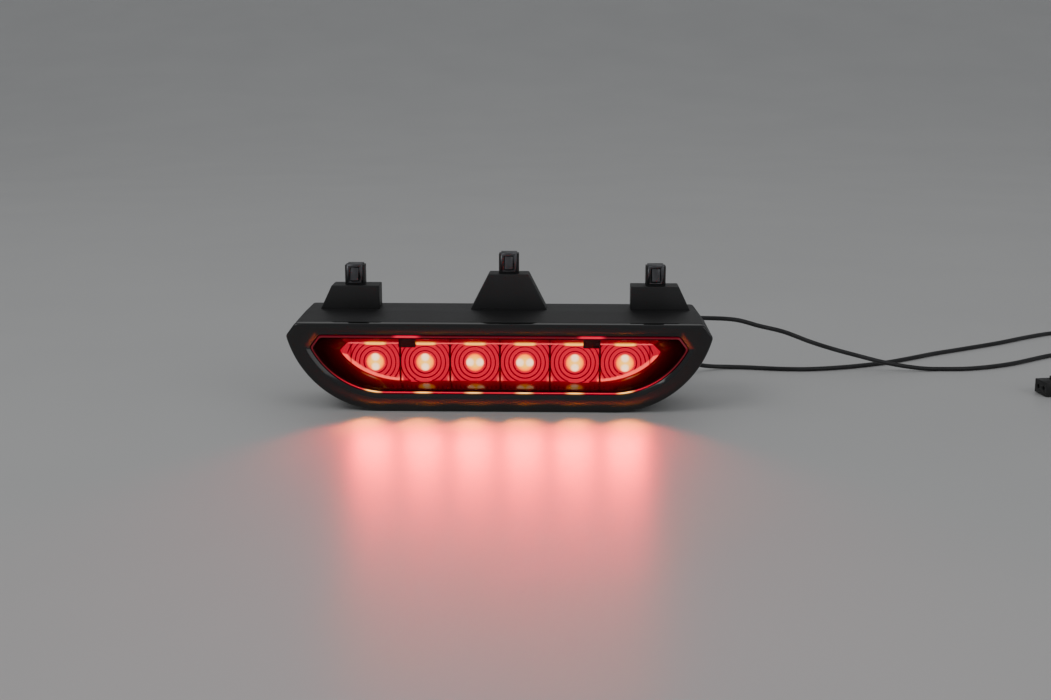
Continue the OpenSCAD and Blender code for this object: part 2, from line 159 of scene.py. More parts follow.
table = sweep_backdrop("table", 30, -8, 1.4, 4.5, 9)
surround = bpy.data.worlds.new("surround")
surround.use_nodes = True
sky = surround.node_tree.nodes["Background"].inputs
sky["Color"].default_value, sky["Strength"].default_value = (0.9, 0.92, 0.95, 1), 0.36
bpy.context.scene.world = surround
add_softbox("key", (-0.9, -0.7, 1.2), (0, 0, 0.02), (0.9, 0.6), 4.2)
add_softbox("fill", (1.0, -0.9, 0.7), (0.1, 0, 0.02), (0.8, 0.8), 1.8)
add_softbox("back", (0.2, 1.4, 1.6), (0.05, 0, 0.04), (2.0, 1.2), 3)
print("stage set")

# %% [markdown]
# The lamp's own beam is drawn by a small red light in front of the cover at each of the six
# sources, and a yellow one that reaches the table close to the lens. The camera sees only what
# they light. The optic's glow alone would have to be so bright that its rings wouldn't show.

# %% Light the beam
PITCH = 25.0
SOURCES = [(i - 2.5) * PITCH for i in range(6)]
BEAM_Y, BEAM_Z = -0.0235, 0.0222
for i, x in enumerate(x * MM for x in SOURCES):
    place = (x, BEAM_Y, BEAM_Z)
    beam = add_softbox(f"beam_{i}", place, (x * 1.1, -0.4, -0.05), (0.018, 0.01), 0.024, (1, 0.0, 0.008))
    glint = add_softbox(f"glint_{i}", place, (x, -0.07, -0.02), (0.006, 0.008), 0.005, (1, 0.22, 0.0))
    beam.data.spread, glint.data.spread = radians(80), radians(45)
    beam.visible_camera = glint.visible_camera = glint.visible_glossy = False
print("beam of", len(SOURCES), "sources")

# %% [markdown]
# ## A small language for finishes
# A finish is a tree of nodes. A Link stands for one value on its way through the tree, so a sum
# or a product of Links is plain Python and adds the Math nodes by itself. Colours would turn
# grey in Math nodes: they go through mix() or a ramp. Places are in the piece's own object
# coordinates, in millimetres, so a pattern stays on the piece wherever it moves.

# %% Links
class Link:
    """One value on its way through a node tree."""

    def __init__(self, tree, socket):
        self.tree, self.socket = tree, socket

    def math(self, operation, *others, first=None):
        values = (self,) + others if first is None else (first, self)
        return self.tree.node("ShaderNodeMath", dict(enumerate(values)), {"operation": operation})

    def __add__(self, other):
        return self.math("ADD", other)

    def __sub__(self, other):
        return self.math("SUBTRACT", other)

    def __rsub__(self, other):
        return self.math("SUBTRACT", first=other)

    def __mul__(self, other):
        return self.math("MULTIPLY", other)

    def __truediv__(self, other):
        return self.math("DIVIDE", other)

    def __abs__(self):
        return self.math("ABSOLUTE")

    __radd__, __rmul__ = __add__, __mul__

    def rise(self, low, high):
        """0 below low, 1 above high and smooth between them; low may be the larger one."""
        return self.tree.node("ShaderNodeMapRange", {"Value": self, "From Min": low, "From Max": high},
                              {"interpolation_type": "SMOOTHSTEP"})


print("links ready")

# %% [markdown]
# node() makes a node, sets it, joins its sockets and hands back a Link to one of its outputs.
# A finished Paint puts its material among the paints under its own name.

# %% Trees and paints
paints = {}


class Tree:
    """A node tree and the one way to add a node to it."""

    def __init__(self, nodes):
        self.nodes = nodes

    def node(self, kind, sockets=None, settings=None, out=0):
        made = self.nodes.nodes.new(kind)
        for key, value in (settings or {}).items():
            if key == "stops":
                ramp = made.color_ramp
                while len(ramp.elements) < len(value):
                    ramp.elements.new(1)
                for stop, (at, colour) in zip(ramp.elements, value):
                    stop.position, stop.color = at, colour
            else:
                setattr(made, key, value)
        for key, value in (sockets or {}).items():
            if isinstance(value, Link):
                self.nodes.links.new(value.socket, made.inputs[key])
            else:
                made.inputs[key].default_value = value
        return Link(self, made.outputs[out]) if len(made.outputs) else None


class Paint(Tree):
    """A material, with its places in millimetres as x, y and z."""

    def __init__(self, name):
        self.name, self.material = name, bpy.data.materials.new(name)
        self.material.use_nodes = True
        super().__init__(self.material.node_tree)
        self.nodes.nodes.clear()
        self.place = self.node("ShaderNodeTexCoord", out="Object")
        self.x, self.y, self.z = (self.axis(i) * (1 / MM) for i in range(3))

    def axis(self, i):
        return self.node("ShaderNodeSeparateXYZ", {0: self.place}, out=i)

    def grain(self, size, detail=2.0, stretch=(1, 1, 1)):
        """Noise from 0 to 1 whose features are about size millimetres."""
        place = self.node("ShaderNodeMapping", {"Vector": self.place, "Scale": stretch})
        return self.node("ShaderNodeTexNoise", {
            "Vector": place, "Scale": 1 / (size * MM), "Detail": detail})

    def mix(self, share, a, b):
        return self.node("ShaderNodeMix", {0: share, 6: a, 7: b}, {"data_type": "RGBA"}, out=2)

    def bump(self, height, depth, strength=1.0):
        """Height 1 stands depth millimetres proud of height 0."""
        return self.node("ShaderNodeBump", {
            "Height": height, "Distance": depth * MM, "Strength": strength})

    def solid(self, **sockets):
        named = {key.replace("_", " "): value for key, value in sockets.items()}
        return self.node("ShaderNodeBsdfPrincipled", named)

    def done(self, shader):
        self.node("ShaderNodeOutputMaterial", {"Surface": shader})
        paints[self.name] = self.material


def grey(level, tint=(1, 1, 1)):
    return (level * tint[0], level * tint[1], level * tint[2], 1)


print("ready to paint")

# %% [markdown]
# ## Black plastics
# The housing is black plastic with a fine spark-eroded grain, which makes a large surface look
# dull and soft. The trim frame is nearly a mirror, with faint smears and specks of dust.

# %% Paint the plastics
def grained_plastic(name, level, size, rough):
    p = Paint(name)
    fine, broad = p.grain(size, 3), p.grain(30, 2)
    colour = p.mix(broad.rise(0.3, 0.7), grey(level * 0.75), grey(level * 1.3, (1, 1, 1.06)))
    scuff = p.grain(2.2, 4).rise(0.62, 0.74) * broad.rise(0.45, 0.65)
    colour = p.mix(0.5 * scuff, colour, grey(level * 3.2))
    p.done(p.solid(Base_Color=colour, Roughness=rough + 0.22 * fine + 0.1 * broad,
                   Normal=p.bump(fine, 0.13, 1.0)))


def polished_plastic(name, level, tint=(1, 1, 1)):
    p = Paint(name)
    smear, dust = p.grain(9, 3, (1, 1, 2.4)), p.grain(0.6, 1)
    specks = dust.rise(0.74, 0.82)
    colour = p.mix(specks, grey(level, tint), grey(level * 4 + 0.01))
    p.done(p.solid(Base_Color=colour, Roughness=0.06 + 0.13 * smear.rise(0.4, 0.75) + 0.3 * specks,
                   Coat_Weight=0.25, Coat_Roughness=0.04, Normal=p.bump(p.grain(40, 1), 0.05)))


grained_plastic("housing_black", 0.016, 0.5, 0.32)
polished_plastic("frame_black", 0.005)
grained_plastic("plug_black", 0.016, 0.3, 0.32)
grained_plastic("chip_black", 0.02, 0.15, 0.5)
print("painted", sorted(paints))

# %% [markdown]
# ## Rubber, wire and metal
# The grommets, the seal and the wires are soft and dull, and the wires have a faint sheen. The
# clips are brushed spring strip with the grain along it; the screws and terminals are plated.

# %% Paint the soft parts and the metals
def rubber(name, colour, rough, size=0.8):
    p = Paint(name)
    fine, broad = p.grain(size, 3), p.grain(14, 2)
    pale = tuple(min(1, c * 1.5 + 0.012) for c in colour)
    p.done(p.solid(Base_Color=p.mix(broad.rise(0.35, 0.75), (*colour, 1), (*pale, 1)),
                   Roughness=rough + 0.15 * fine, Normal=p.bump(fine, 0.05, 0.5)))


def metal(name, colour, rough, stretch=(1, 1, 1), size=0.5):
    p = Paint(name)
    brushed, stain = p.grain(size, 3, stretch), p.grain(6, 3)
    dark = tuple(c * 0.72 for c in colour)
    shade = p.mix(stain.rise(0.35, 0.7), (*colour, 1), (*dark, 1))
    p.done(p.solid(Base_Color=shade, Metallic=1.0, Roughness=rough + 0.18 * brushed + 0.1 * stain,
                   Normal=p.bump(brushed, 0.02, 0.5)))


rubber("seal_black", (0.02, 0.02, 0.02), 0.75, 0.5)
rubber("grommet_black", (0.014, 0.014, 0.015), 0.55)
rubber("wire_black", (0.009, 0.009, 0.01), 0.3, 1.6)
rubber("seal_orange", (0.36, 0.07, 0.02), 0.5)
metal("brass_tag", (0.72, 0.5, 0.2), 0.22)
metal("zinc_screw", (0.62, 0.63, 0.65), 0.25)
metal("spring_steel", (0.14, 0.14, 0.148), 0.24, (1, 1, 0.06), 0.3)
print("painted", len(paints))

# %% [markdown]
# ## Inside parts
# The board, the packages and the baffle show when the lamp is taken apart: green solder mask
# over copper tracks, white diffusing plastic and a fibrous white vent patch.

# %% Paint the inside parts
def solder_mask():
    p = Paint("board_green")
    tracks = p.node("ShaderNodeTexBrick", {
        "Vector": p.node("ShaderNodeMapping", {"Vector": p.place, "Rotation": (pi / 2, 0, 0)}),
        "Scale": 130.0, "Mortar Size": 0.035, "Mortar Smooth": 0.4}, {"offset": 0.37, "squash": 1.0}, out=1)
    weave = p.grain(0.7, 2)
    colour = p.mix(tracks, (0.014, 0.1, 0.03, 1), (0.04, 0.2, 0.06, 1))
    p.done(p.solid(Base_Color=colour, Roughness=0.25 + 0.2 * weave,
                   Normal=p.bump(weave + 2 * tracks, 0.03)))


def white_part(name, colour, rough, size):
    p = Paint(name)
    fine, broad = p.grain(size, 4), p.grain(20, 2)
    shade = tuple(c * 0.86 for c in colour)
    p.done(p.solid(Base_Color=p.mix(broad, (*colour, 1), (*shade, 1)), Roughness=rough + 0.2 * fine,
                   Normal=p.bump(fine, 0.05, 0.5)))


def glowing_window():
    p = Paint("led_glow")
    cells = p.grain(0.7, 2)
    hot = p.mix(cells, (1, 0.42, 0.08, 1), (1, 0.62, 0.25, 1))
    p.done(p.solid(Base_Color=(0.9, 0.5, 0.15, 1), Roughness=0.2 + 0.1 * cells,
                   Emission_Color=hot, Emission_Strength=8.0))


def pale_table():
    """A plain pale laminate with a low sheen."""
    p = Paint("table_finish")
    fine, broad = p.grain(1.2, 3), p.grain(160, 2)
    colour = p.mix(broad, (0.66, 0.66, 0.65, 1), (0.6, 0.6, 0.595, 1))
    p.done(p.solid(Base_Color=colour, Roughness=0.3 + 0.08 * fine + 0.05 * broad,
                   Normal=p.bump(fine, 0.02, 0.3)))


pale_table()
table.data.materials.append(paints["table_finish"])
solder_mask()
white_part("baffle_white", (0.78, 0.78, 0.74), 0.45, 0.6)
white_part("led_body", (0.8, 0.77, 0.68), 0.35, 0.3)
white_part("vent_white", (0.75, 0.75, 0.72), 0.7, 0.25)
glowing_window()
print("painted", len(paints))

# %% [markdown]
# ## The lit optic
# The red optic is a row of six ring lenses. Each ring throws a narrow band of light, with a thin
# dark line at each step, and the light is yellowest close to its source, where two bright chips
# show. The pattern comes from the distance to the nearest source. The outer cells run on to the
# pointed ends, so the cell's number is held to the first and the last. The same rule gives a
# painted reflection of each source: a yellow bar on the top edge above it. Painted highlights run
# along the top edge and the curved lower edge of the end cells, and painted glints sit at the
# lower corners where two cells meet.

# %% Find a place's cell
OPTIC_BOTTOM, OPTIC_TOP = 13.0, 32.0
LED_Z = (OPTIC_BOTTOM + OPTIC_TOP) / 2 - 0.3
RING_FIRST, RING_PITCH = 3.6, 2.2
CHIP_GAP = 4.8
ARC_X, ARC_Z, ARC_R = 48.0, 54.6, 41.6
HOOK_MIDDLE = 45.5
STEP_LINE, WALL_LINE = (0.012, 0.0, 0.0003, 1), (0.004, 0.0, 0.0001, 1)


def cell_places(p):
    """How far a place is across and up from its own cell's source."""
    cell = (p.x / PITCH).math("FLOOR").math("MAXIMUM", -3).math("MINIMUM", 2)
    return cell, p.x - (cell + 0.5) * PITCH, p.z - LED_Z


def distance(a, b):
    return (a * a + b * b).math("SQRT")


print("optic from", OPTIC_BOTTOM, "to", OPTIC_TOP, "mm, sources at", round(LED_Z, 1))


# %% Paint the optic
def source_colour(p, cell, across, up, radius):
    """Two white-hot chips in a warm disc; the middle two pairs lie flat."""
    middle = abs(cell + 0.5).rise(0.9, 0.6)
    upright = distance(across, abs(up) - CHIP_GAP / 2)
    flat = distance(abs(across) - CHIP_GAP / 2, up)
    chip = upright + (flat - upright) * middle
    warm = p.node("ShaderNodeValToRGB", {0: radius.rise(5.0, 1.8)}, {"stops": [
        (0.0, (0.8, 0.06, 0.006, 1)), (0.4, (1.0, 0.26, 0.006, 1)), (1.0, (1.0, 0.6, 0.04, 1))]})
    return p.mix(chip.rise(2.6, 1.0), warm, (1.0, 0.9, 0.55, 1))


def lit_optic():
    p = Paint("optic_red")
    cell, across, up = cell_places(p)
    radius = distance(across, up)
    phase = ((radius - RING_FIRST) / RING_PITCH).math("FRACT")
    line = abs(phase - 0.5).rise(0.33, 0.47)
    band = p.mix(radius.rise(4, 26), (0.34, 0.002, 0.02, 1), (0.2, 0.001, 0.013, 1))
    line = line * (1 - abs(p.x).rise(76.2, 76.8))
    colour = p.mix(line, band, STEP_LINE)
    colour = p.mix(radius.rise(4.9, 4.1), colour, source_colour(p, cell, across, up, radius))
    wall_gap = PITCH / 2 - abs(across)
    inside = abs(p.x).rise(76, 74)
    # painted glint: a lighter red at the lower corners where two cells meet
    corner = p.z.rise(OPTIC_BOTTOM + 3.4, OPTIC_BOTTOM + 0.4) * wall_gap.rise(2.2, 0.6) * inside
    colour = p.mix(corner, colour, (0.6, 0.05, 0.05, 1))
    # painted highlight: a lighter red line along the curved lower edge of the two end cells
    rim_highlight = distance(abs(p.x) - ARC_X, p.z - ARC_Z) * abs(p.x).rise(ARC_X - 1, ARC_X + 1) * p.z.rise(29, 26)
    colour = p.mix(rim_highlight.rise(ARC_R - 1.3, ARC_R - 0.5), colour, (0.8, 0.08, 0.06, 1))
    colour = p.mix(wall_gap.rise(0.7, 0.3) * inside, colour, WALL_LINE)
    # painted highlight: a lighter red strip along the optic's top edge
    edge = p.z.rise(OPTIC_TOP - 0.7, OPTIC_TOP - 0.35) * abs(p.x).rise(79, 74)
    colour = p.mix(edge, colour, (0.55, 0.05, 0.06, 1))
    # painted reflection: a yellow bar of each source's light on the top edge above it
    bar = p.z.rise(OPTIC_TOP - 1.3, OPTIC_TOP - 0.8) * abs(across).rise(6.2, 3.6)
    colour = p.mix(bar, colour, (1.0, 0.55, 0.06, 1))
    p.done(p.solid(Base_Color=p.mix(line, (0.25, 0.006, 0.01, 1), (0.04, 0.0, 0.002, 1)),
                   Roughness=0.12 + 0.1 * p.grain(3, 2), Emission_Color=colour,
                   Emission_Strength=3.2))


lit_optic()
print("optic's tree has", len(paints["optic_red"].node_tree.nodes), "nodes")

# %% [markdown]
# ## Cover and bezel
# The cover is smoked a little. Glass nodes would keep the studio's light out of the lamp, so the
# cover lets light straight through with a tint, and a Fresnel factor adds its gloss. The bezel
# behind it is a polished, very dark red, with the optic's glow painted on its walls as emission.

# %% Paint the cover and the bezel
def smoked_cover():
    p = Paint("lens_smoke")
    smear = p.grain(12, 3)
    gloss = p.solid(Base_Color=(0.02, 0.002, 0.003, 1), Roughness=0.02 + 0.05 * smear.rise(0.45, 0.8))
    through = p.node("ShaderNodeBsdfTransparent", {"Color": (0.9, 0.78, 0.78, 1)})
    fresnel = p.node("ShaderNodeFresnel", {"IOR": 1.46})
    p.done(p.node("ShaderNodeMixShader", {0: fresnel, 1: through, 2: gloss}))


smoked_cover()


def painted_edge_light():
    """The cover's rounded edge with the sources' light painted on as emission: painted highlights along the
    lower edge and over the hooks, and a painted reflection under each source.
    """
    p = Paint("lens_edge")
    across = cell_places(p)[1]
    # painted highlight: the lower edge glows along its flat middle and fades towards the ends
    low = p.z.rise(24, 14)
    reach = abs(p.x).rise(94, 58)
    # painted highlight on the top edge over each hook
    hook_highlight = abs(abs(p.x) - HOOK_MIDDLE).rise(8, 4)
    colour = p.mix(low, p.mix(hook_highlight, (0.03, 0.0, 0.002, 1), (0.32, 0.004, 0.018, 1)),
                   p.mix(reach, (0.04, 0.0, 0.002, 1), (0.28, 0.003, 0.015, 1)))
    # painted reflection: a yellow spot of each source's light on the lower edge under it
    spot = p.z.rise(12, 10.5) * abs(across).rise(5.5, 1)
    colour = p.mix(spot, colour, (1.0, 0.45, 0.1, 1))
    p.done(p.solid(Base_Color=(0.1, 0.004, 0.006, 1), Roughness=0.08 + 0.1 * p.grain(4, 2),
                   Emission_Color=colour, Emission_Strength=3.0))


def bezel_painted_glow():
    """Polished dark red plastic, with the optic's glow painted on as emission next to the optic."""
    p = Paint("bezel_gloss")
    across = cell_places(p)[1]
    smear = p.grain(9, 3)
    # painted glow: the optic's light painted on the walls, stronger deep in the funnel and in line with each
    # source, fading at the ends
    depth = p.y.rise(-17, -8.5)
    painted_glow = depth * depth * (0.45 + 0.55 * abs(across).rise(11, 2)) * abs(p.x).rise(96, 70)
    p.done(p.solid(Base_Color=p.mix(smear, (0.05, 0.002, 0.003, 1), (0.03, 0.001, 0.002, 1)),
                   Roughness=0.08 + 0.12 * smear, Coat_Weight=0.5, Coat_Roughness=0.05,
                   Emission_Color=p.mix(painted_glow, (0.006, 0.0, 0.0003, 1), (0.3, 0.004, 0.008, 1)),
                   Emission_Strength=1.0))


painted_edge_light()
bezel_painted_glow()
print("painted", len(paints))

# %% [markdown]
# ## Edges
# A moulded or stamped part has no knife edge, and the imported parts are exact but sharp. polish()
# copies a part's mesh, joins its triangles, melts the flat ones together and bevels what is
# left, so the rounded copy lies inside the same box.

# %% Round the edges of a part
def add_piece(name, mesh, slot, body="lamp", stands_for=None, more=()):
    obj = put(name, mesh)
    if mesh.materials:
        mesh.materials.clear()
    for finish in (slot,) + tuple(more):
        mesh.materials.append(paints[finish])
    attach(obj, body)
    if stands_for:
        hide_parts(stands_for)
    return obj


def baked_mesh(obj, name):
    """The object's mesh with its modifiers worked in; the object itself goes away."""
    view = bpy.context.evaluated_depsgraph_get()
    mesh = bpy.data.meshes.new_from_object(obj.evaluated_get(view))
    mesh.name = name
    bpy.data.objects.remove(obj)
    return mesh


def plain_mesh(shape, name):
    """The bmesh as a mesh; the bmesh itself is freed."""
    mesh = bpy.data.meshes.new(name)
    shape.to_mesh(mesh)
    shape.free()
    return mesh


def joined_copy(node):
    shape = bmesh.new()
    shape.from_mesh(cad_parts[node].data)
    bmesh.ops.remove_doubles(shape, verts=shape.verts, dist=2e-6)
    bmesh.ops.dissolve_limit(shape, angle_limit=radians(0.7), verts=shape.verts, edges=shape.edges)
    return plain_mesh(shape, node + "_copy")


def round_edges(obj, radius, steps, sharp=30):
    bevel = obj.modifiers.new("edge", "BEVEL")
    bevel.limit_method, bevel.angle_limit = "ANGLE", radians(sharp)
    bevel.width, bevel.segments = radius * MM, steps
    return bevel


def polish(node, radius, slot, body="lamp", steps=2, sharp=32):
    copy = put(node + "_copy", joined_copy(node))
    if radius:
        bevel = round_edges(copy, radius, steps, sharp)
        bevel.use_clamp_overlap = bevel.harden_normals = True
        bevel.miter_outer = "MITER_ARC"
    mesh = baked_mesh(copy, node + "_shape")
    mesh.shade_smooth()
    if not radius:
        mesh.set_sharp_from_angle(angle=radians(sharp))
    return add_piece(node + "_finish", mesh, slot, body, node)


print("ready to round edges")

# %% Round the inside parts, the plug and the clips
jobs = [("light_baffle", 0.1, "baffle_white"), ("circuit_board", 0.1, "board_green"),
        ("board_screws", 0.15, "zinc_screw"), ("plug_shell", 0.25, "plug_black"),
        ("plug_terminals", 0, "brass_tag"), ("wire_seals", 0, "seal_orange"),
        ("clip_left", 0.12, "spring_steel"), ("clip_middle", 0.12, "spring_steel"),
        ("clip_right", 0.12, "spring_steel")]
made = {node: polish(node, radius, slot) for node, radius, slot in jobs}
for side in ("left", "middle", "right"):
    for end in ("front", "rear"):
        barb = f"barb_{side}_{end}"
        made[barb] = polish(barb, 0.08, "spring_steel", barb)
made["plug_latch"] = polish("plug_latch", 0.15, "plug_black", "latch")
print("rounded", len(made), "parts,", sum(len(o.data.polygons) for o in made.values()), "faces")

# %% [markdown]
# ## One outline for four parts
# The opening, the trim frame, the cover and the bezel share one outline: flat above and below,
# a round sweep at each lower corner and a slanted cut at each end. Grown by e all round, it
# always has the same number of points, so two rings are joined by a strip of quads. A part is
# then a list of rings, and a rounded edge is a few rings close together.

# %% Draw the outline
FRONT, FRAME_BACK, FLANGE_BACK, SEAL_BACK = -22.0, -18.5, -17.1, -16.5
BEZEL_FLANGE, BEZEL_BACK = -15.4, -9.0
RIM = {"flat": 56.0, "reach": 93.0, "reach_z": 32.0, "low": 9.0, "top": 38.0}
MARGIN, END_BULK = 9.0, 4.0
CUT = (0.8, 0.6)


def between(a, b, count):
    return [tuple(u + (v - u) * i / count for u, v in zip(a, b)) for i in range(count)]


def round_off(before, corner, after, count=6):
    """A short curve from before to after that leans to the corner, without its last point."""
    points = []
    for i in range(count):
        t = i / count
        points.append(tuple((1 - t) ** 2 * a + 2 * t * (1 - t) * c + t * t * b
                            for a, c, b in zip(before, corner, after)))
    return points


def outline(e, tip=0.0, top=None, soft=1.2, form=RIM):
    """The form's outline in X and Z, anticlockwise, grown by e and at its ends by tip more."""
    flat = form["flat"]
    top = form["top"] + e if top is None else top
    low = form["low"] - e
    rise = form["reach_z"] - form["low"]
    bend = ((form["reach"] - flat) ** 2 + rise ** 2) / (2 * rise)
    centre_z = form["low"] + bend
    limit = CUT[0] * form["reach"] + CUT[1] * form["reach_z"] + e + tip
    gap = limit - CUT[0] * flat - CUT[1] * centre_z
    stop = atan2(CUT[1], CUT[0]) - acos(gap / (bend + e))

    def on_arc(angle):
        return flat + (bend + e) * cos(angle), centre_z + (bend + e) * sin(angle)

    def on_cut(z):
        return (limit - CUT[1] * z) / CUT[0], z

    point, shoulder = on_arc(stop), on_cut(top)
    arc_end = stop - soft / (bend + e)
    half = between((0, low), (flat, low), 10)
    half += [on_arc(-pi / 2 + (arc_end + pi / 2) * i / 40) for i in range(40)]
    half += round_off(on_arc(arc_end), point, on_cut(point[1] + soft * CUT[0]))
    half += between(on_cut(point[1] + soft * CUT[0]), on_cut(top - soft * CUT[0]), 6)
    half += round_off(on_cut(top - soft * CUT[0]), shoulder, (shoulder[0] - soft, top))
    half += between((shoulder[0] - soft, top), (0, top), 14) + [(0, top)]
    return half + [(-x, z) for x, z in reversed(half[1:-1])]


print("outline has", len(outline(0)), "points")


# %% Join rings into a mesh
def ring(y, e, tip=0.0, top=None, form=RIM):
    return [(x, y, z) for x, z in outline(e, tip, top, form=form)]


def loft(name, rings, closed=False, inks=None):
    """Rings joined by quads. A closed loft joins the last ring to the first; an open one is
    capped. inks gives each strip its finish's number; a cap takes 0."""
    shape = bmesh.new()
    loops = [[shape.verts.new(Vector(p) * MM) for p in points] for points in rings]
    strips = list(zip(loops, loops[1:] + loops[:1])) if closed else list(zip(loops, loops[1:]))
    for k, (one, two) in enumerate(strips):
        for i in range(len(one)):
            j = (i + 1) % len(one)
            face = shape.faces.new((one[i], one[j], two[j], two[i]))
            face.smooth = True
            face.material_index = inks[k] if inks else 0
    if not closed:
        shape.faces.new(loops[0])
        shape.faces.new(reversed(loops[-1]))
    bmesh.ops.recalc_face_normals(shape, faces=shape.faces)
    mesh = plain_mesh(shape, name)
    mesh.set_sharp_from_angle(angle=radians(40))
    return mesh


print("a ring has", len(ring(FRONT, 0)), "points")

# %% [markdown]
# ## Trim frame
# The frame is a closed ring: its section goes over a rounded outer edge, across the flat face
# and down a small lead-in to the cover. Its top edge follows the hood, which falls 3 mm over
# the first 20 mm of depth.

# %% Make the trim frame
def hood(y):
    return 44.0 + 3.0 * min(1.0, (y - FRONT) / 20.0)


def outer_edge(radius, steps=5):
    rings = []
    for k in range(steps + 1):
        turn = pi / 2 * k / steps
        back, inset = radius * (1 - sin(turn)), radius * (1 - cos(turn))
        rings.append(ring(FRONT + back, MARGIN - inset, END_BULK, hood(FRONT + back) - inset))
    return rings


frame_rings = [ring(FRAME_BACK, MARGIN, END_BULK, hood(FRAME_BACK))] + outer_edge(1.1)
frame_rings += [ring(FRONT, 2.4, 0.6), ring(FRONT + 0.06, 2.1, 0.5), ring(FRONT + 0.2, 1.85, 0.4)]
frame_rings += [ring(FRONT + 1.0, 0.5, 0.1), ring(FRONT + 1.2, 0.2), ring(FRONT + 1.6, 0.02),
                ring(FRAME_BACK, 0.02)]
trim = loft("trim_frame_shape", frame_rings, closed=True)
add_piece("trim_frame_finish", trim, "frame_black", stands_for="trim_frame")
print("trim frame", len(trim.polygons), "faces")

# %% [markdown]
# ## Cover
# The cover is a shallow pan with a flange that the frame holds. Its front is clear, and the
# rounded edge of its front has the sources' light painted on as a glow: painted highlights
# along the edge and painted reflections of the sources. The two finishes go on different strips
# of one mesh: 1 is the painted glow.

# %% Make the cover
cover_rings = [ring(FRONT + 0.6, -0.95), ring(FRONT + 0.66, -0.55), ring(FRONT + 0.85, -0.25),
               ring(FRONT + 1.2, -0.15), ring(FRAME_BACK, -0.15), ring(FRAME_BACK + 0.02, 2.3),
               ring(FRAME_BACK + 0.1, 2.4), ring(FLANGE_BACK, 2.4), ring(FLANGE_BACK, -1.6),
               ring(FRONT + 2.7, -1.6), ring(FRONT + 2.45, -1.75), ring(FRONT + 2.4, -2.1)]
cover_inks = [1, 1, 1, 1, 0, 0, 0, 0, 0, 0, 0]
cover = loft("cover_shape", cover_rings, inks=cover_inks)
add_piece("cover_finish", cover, "lens_smoke", stands_for="outer_lens", more=("lens_edge",))
print("cover", len(cover.polygons), "faces")

# %% [markdown]
# ## Blocks, rods and cuts
# Small features are blocks and rods, made as bmesh shapes, that are joined to a part or cut out
# of it. The cut is an exact boolean, which may meet tools that overlap each other.

# %% Blocks, rods and cuts
def rounded_block(low, high, radius, steps=2):
    """A block from its low to its high corner, in millimetres, as a bmesh."""
    shape = bmesh.new()
    size = Vector(high) - Vector(low)
    bmesh.ops.create_cube(shape, size=1)
    middle = (Vector(high) + Vector(low)) / 2
    for v in shape.verts:
        v.co = Vector([(middle[i] + v.co[i] * size[i]) * MM for i in range(3)])
    if radius:
        bmesh.ops.bevel(shape, geom=shape.edges, offset=radius * MM, segments=steps, affect="EDGES",
                        profile=0.5)
    return shape


def mirrored_blocks(span, low, high, radius):
    """The same block on both sides; span is its reach in X, low and high its corners in Y and Z."""
    spans = ((-span[1], -span[0]), span)
    return [rounded_block((near, *low), (far, *high), radius) for near, far in spans]


def mesh_of(shape, name):
    mesh = plain_mesh(shape, name)
    mesh.shade_smooth()
    mesh.set_sharp_from_angle(angle=radians(40))
    return mesh


def combine(mesh, parts, name):
    """Adds more bmesh parts to a mesh."""
    whole = bmesh.new()
    whole.from_mesh(mesh)
    for part in parts:
        spare = plain_mesh(part, "spare")
        whole.from_mesh(spare)
        bpy.data.meshes.remove(spare)
    return mesh_of(whole, name)


def rod(x, z, y0, y1, radius, count=64):
    """A round bar along Y, as a bmesh."""
    shape = bmesh.new()
    bmesh.ops.create_cone(shape, cap_ends=True, segments=count, radius1=radius * MM,
                          radius2=radius * MM, depth=(y1 - y0) * MM)
    bmesh.ops.rotate(shape, verts=shape.verts, matrix=Matrix.Rotation(pi / 2, 3, "X"))
    bmesh.ops.translate(shape, verts=shape.verts, vec=Vector((x, (y0 + y1) / 2, z)) * MM)
    return shape


def cut_away(mesh, tools, name, radius=0.0, operation="DIFFERENCE"):
    """The mesh with pockets and bores cut out of it, its edges then rounded by radius."""
    body = put(name + "_body", mesh)
    tool = put(name + "_tool", combine(bpy.data.meshes.new("none"), tools, name + "_tool"))
    cut = body.modifiers.new("cut", "BOOLEAN")
    cut.operation, cut.solver, cut.object = operation, "EXACT", tool
    cut.use_self = True
    if radius:
        round_edges(body, radius, 3)
    result = baked_mesh(body, name)
    bpy.data.objects.remove(tool)
    return result


print("ready to cut")

# %% [markdown]
# ## Bezel
# The bezel is a funnel: the same outline shrinks from the opening to the optic. Two hooks come
# down over the optic's top edge, and two notches let the optic's lugs through the lower wall.

# %% Make the bezel
OPTIC_REACH = 80.0
SHRINK = (OPTIC_REACH / RIM["reach"], (OPTIC_TOP - OPTIC_BOTTOM) / (RIM["top"] - RIM["low"]))
SHRINK_Z = (OPTIC_BOTTOM - RIM["low"] * SHRINK[1]) / (1 - SHRINK[1])
HOOK_X, LUG_X = (41.5, 50.0), (34.0, 45.0)


def funnel_ring(y, e):
    deep = (y - FLANGE_BACK) / (BEZEL_BACK - FLANGE_BACK)
    sx, sz = (1 - (1 - s) * deep for s in SHRINK)
    return [(x * sx, y, (z - SHRINK_Z) * sz + SHRINK_Z) for x, z in outline(e)]


